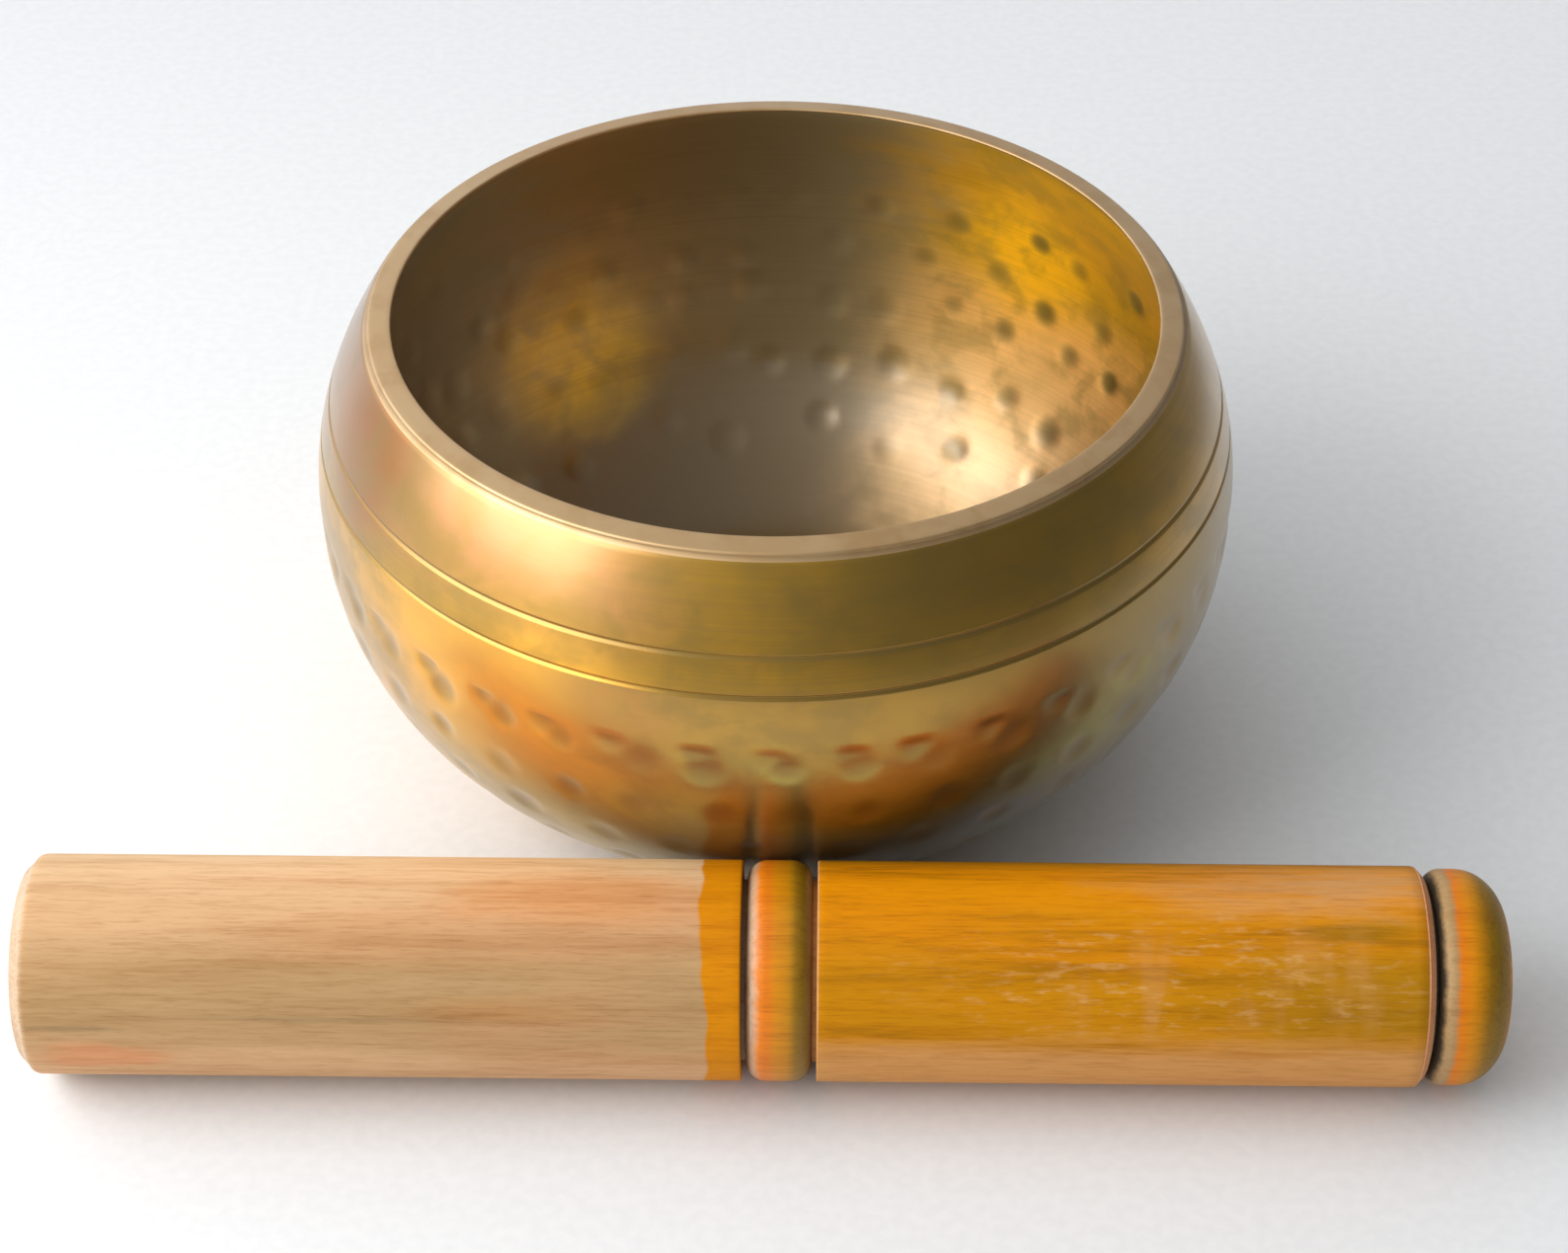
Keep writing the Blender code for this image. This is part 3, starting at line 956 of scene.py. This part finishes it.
def wood_handle():
    """Stained wood: painted paler low on the front, as light from the white table, rubbed on top, with
    painted light along the top and olive painted shade at the back.
    """
    w = Wood("wood_handle")
    colour = w.mix(w.span(w.broad, 0.35, 0.65), STAIN, STAIN_YELLOW)
    # Painted light: brighter stain along the top.
    colour = w.mix(w.span(w.round, 58, 92, 0.0, 0.8), colour, STAIN_PAINTED_LIGHT)
    colour = w.mix(w.span(w.streak, 0.52, 0.7, 0.0, 0.5), colour, STAIN_DARK)
    colour = w.patches(colour, HANDLE_PATCHES)
    # Painted light: paler low on the front, for the light thrown up from the white table.
    table_bounce = w.span(w.plus(w.round, w.times(w.streak, 34.0)), 30, 10)
    colour = w.mix(w.times(table_bounce, 0.85), colour, STAIN_THIN)
    rubbed = w.times(w.patch(*RUBBED), w.span(w.streak, 0.62, 0.42, 0.35, 1.0))
    colour = w.mix(rubbed, colour, STAIN_THIN)
    colour = scratched(w, colour)
    # Painted shade: olive and darker at the back, facing the bowl.
    colour = w.mix(w.span(w.math("ABSOLUTE", w.round), 105, 135, 0.0, 0.7), colour, STAIN_OLIVE)
    colour = w.mix(w.edge(HANDLE_START, ragged=0.1, soft=0.1), STAIN_THIN, colour)
    colour = w.mix(w.edge(HANDLE_BEVEL, ragged=0.1, soft=0.15), colour, WOOD_PINK)
    return w.done(colour)


# ---------------------------------------------------------------- the studio

FAR_TABLE_START = 190 * MM
FAR_TABLE_END = 3.0
FAR_TABLE_SIDES = (-35, 150)  # the azimuths between which the table shows
FAR_TABLE_LIFT = 0.2 * MM
FAR_TABLE_STEPS = 96
FAR_TABLE_GREYS = (0.62, 0.30)  # on the left and on the right, as shares of CARD_GREY; the darker right is painted shade
CARD_BLACK = (0.0, 0.0, 0.0)
CARD_GREY = (0.82, 0.82, 0.82)
CARD_FLECK = (0.5, 0.5, 0.5)
FLOOR_HALF = 4.0
FLOOR_DROP = 0.05 * MM  # keeps the floor clear of the undersides that rest on it
PAPER_DARK = (0.80, 0.81, 0.825)
PAPER_PALE = (0.83, 0.84, 0.855)
KEY_WATTS = 1.5
KEY_AZIMUTH = math.radians(-68)
KEY_ELEVATION = math.radians(36)
KEY_DISTANCE = 0.45
KEY_WIDTH = 0.38
KEY_HEIGHT = 0.34

# The lit walls of the room: azimuth, elevation and brightness of each glow's middle.
ROOM_GLOWS = ((-116, 26, 2.2), (-60, 18, 1.35))
ROOM_GLOW_FADE = 1.7
ROOM_LEVEL = 0.12
BACK_GLOW_START = 0.35  # the Y of the looking direction where the glow behind the bowl begins
BACK_GLOW_FULL = 0.8
BACK_GLOW = 0.15
ROOM_TINT = (0.98, 0.995, 1.0, 1.0)
SEEN_WALL = (0.86, 0.865, 0.87, 1.0)


def direction(azimuth, elevation):
    """A unit vector. Both angles are in radians."""
    flat = math.cos(elevation)
    return Vector((math.sin(azimuth) * flat, -math.cos(azimuth) * flat, math.sin(elevation)))


def add_sheet(name, vertices, faces):
    mesh = bpy.data.meshes.new(name)
    mesh.from_pydata(vertices, [], faces)
    sheet = bpy.data.objects.new(name, mesh)
    bpy.context.scene.collection.objects.link(sheet)
    return sheet


def make_floor():
    """The pale sheet that everything lies on."""
    half = FLOOR_HALF
    corners = [(-half, -half, 0), (half, -half, 0), (half, half, 0), (-half, half, 0)]
    floor = add_sheet("floor", corners, [(0, 1, 2, 3)])
    floor.location.z = -FLOOR_DROP
    n = Nodes("floor_card")
    paper = n.noise(n.scaled((700, 700, 700)), detail=2.0)
    n.set(Base_Color=n.mix(n.span(paper, 0.3, 0.7), PAPER_DARK, PAPER_PALE), Roughness=0.7)
    n.shader.inputs["Specular IOR Level"].default_value = 0.0
    floor.data.materials.append(n.material)


def make_far_table():
    """The table beyond the white sheet is darker. It is out of the picture: only reflections show it, so
    this card paints a dark reflection into the bowl, and its right side is painted darker as shade.
    """
    start, end = (math.radians(side) for side in FAR_TABLE_SIDES)
    angles = np.linspace(start, end, FAR_TABLE_STEPS)
    vertices = []
    for radius in (FAR_TABLE_START, FAR_TABLE_END):
        vertices += [(radius * math.sin(a), -radius * math.cos(a), FAR_TABLE_LIFT) for a in angles]
    steps = FAR_TABLE_STEPS
    faces = [(i, steps + i, steps + i + 1, i + 1) for i in range(steps - 1)]
    card = add_sheet("far_table", vertices, faces)
    card.visible_camera = False
    card.visible_diffuse = False
    card.visible_shadow = False
    n = Nodes("far_table")
    paper = n.noise(n.scaled((300, 300, 300)), detail=2.0)
    across = n.span(n.axes()[0], -60 * MM, 160 * MM, *FAR_TABLE_GREYS)
    shade = n.mix(across, CARD_BLACK, CARD_GREY)
    n.set(Base_Color=n.mix(n.span(paper, 0.3, 0.7, 0.0, 0.05), shade, CARD_FLECK), Roughness=0.8)
    card.data.materials.append(n.material)


def make_key_light():
    """One soft box on the left, aimed at the middle of the bowl's foot."""
    light = bpy.data.lights.new("key_softbox", "AREA")
    light.shape = "RECTANGLE"
    light.size = KEY_WIDTH
    light.size_y = KEY_HEIGHT
    light.energy = KEY_WATTS
    lamp = bpy.data.objects.new("key_softbox", light)
    bpy.context.scene.collection.objects.link(lamp)
    towards = direction(KEY_AZIMUTH, KEY_ELEVATION)
    lamp.location = towards * KEY_DISTANCE
    lamp.rotation_mode = "QUATERNION"
    lamp.rotation_quaternion = towards.to_track_quat("Z", "Y")


def world_math(tree, operation, a, b=None):
    node = tree.nodes.new("ShaderNodeMath")
    node.operation = operation
    for value, socket in zip((a, b), node.inputs):
        if isinstance(value, bpy.types.NodeSocket):
            tree.links.new(value, socket)
        elif value is not None:
            socket.default_value = value
    return node.outputs[0]


def room_glow(tree, looking, azimuth, elevation, brightness):
    """A glow round a direction of the room, fading with the angle away from it."""
    dot = tree.nodes.new("ShaderNodeVectorMath")
    dot.operation = "DOT_PRODUCT"
    tree.links.new(looking, dot.inputs[0])
    dot.inputs[1].default_value = direction(math.radians(azimuth), math.radians(elevation))
    angle = world_math(tree, "ARCCOSINE", dot.outputs["Value"])
    faded = world_math(tree, "MULTIPLY", angle, -ROOM_GLOW_FADE)
    return world_math(tree, "MULTIPLY", world_math(tree, "EXPONENT", faded), brightness)


def back_glow(tree, looking):
    """A weak glow on the far side of the room, behind the bowl."""
    axes = tree.nodes.new("ShaderNodeSeparateXYZ")
    tree.links.new(looking, axes.inputs[0])
    behind = tree.nodes.new("ShaderNodeMapRange")
    behind.interpolation_type = "SMOOTHSTEP"
    tree.links.new(axes.outputs[1], behind.inputs["Value"])
    behind.inputs["From Min"].default_value = BACK_GLOW_START
    behind.inputs["From Max"].default_value = BACK_GLOW_FULL
    behind.inputs["To Max"].default_value = BACK_GLOW
    return behind.outputs[0]


def background(tree, colour):
    node = tree.nodes.new("ShaderNodeBackground")
    node.inputs["Color"].default_value = colour
    return node


def make_world():
    """A dim room that glows towards the key light and behind the bowl. The camera sees a pale wall."""
    world = bpy.data.worlds.new("studio")
    bpy.context.scene.world = world
    world.use_nodes = True
    tree = world.node_tree
    tree.nodes.clear()
    looking = tree.nodes.new("ShaderNodeTexCoord").outputs["Generated"]
    level = ROOM_LEVEL
    for azimuth, elevation, brightness in ROOM_GLOWS:
        level = world_math(tree, "ADD", room_glow(tree, looking, azimuth, elevation, brightness), level)
    level = world_math(tree, "ADD", back_glow(tree, looking), level)
    room = background(tree, ROOM_TINT)
    wall = background(tree, SEEN_WALL)
    tree.links.new(level, room.inputs["Strength"])
    ray = tree.nodes.new("ShaderNodeLightPath")
    chosen = tree.nodes.new("ShaderNodeMixShader")
    tree.links.new(ray.outputs["Is Camera Ray"], chosen.inputs[0])
    tree.links.new(room.outputs[0], chosen.inputs[1])
    tree.links.new(wall.outputs[0], chosen.inputs[2])
    output = tree.nodes.new("ShaderNodeOutputWorld")
    tree.links.new(chosen.outputs[0], output.inputs[0])


CAMERA_PLACE = Vector((0.0, -0.3089, 0.2586))
CAMERA_AIM = Vector((0.0009, 0.0, 0.0116))
CAMERA_LENS = 79.35
CAMERA_SENSOR = 36.0
CAMERA_NEAR = 0.01
CAMERA_FAR = 50.0


def make_camera():
    """At the photo's angle. The lens and the sensor are in mm."""
    data = bpy.data.cameras.new("camera")
    data.lens = CAMERA_LENS
    data.sensor_width = CAMERA_SENSOR
    data.clip_start = CAMERA_NEAR
    data.clip_end = CAMERA_FAR
    camera = bpy.data.objects.new("camera", data)
    bpy.context.scene.collection.objects.link(camera)
    camera.location = CAMERA_PLACE
    camera.rotation_euler = (CAMERA_AIM - CAMERA_PLACE).to_track_quat("-Z", "Y").to_euler()
    bpy.context.scene.camera = camera


def set_look():
    """Plain colours, as a camera's own picture has them."""
    view = bpy.context.scene.view_settings
    view.view_transform = "Standard"
    view.look = "None"
    view.exposure = 0.0


make_bowl()
make_mallet()
make_floor()
make_far_table()
make_key_light()
make_world()
make_camera()
set_look()
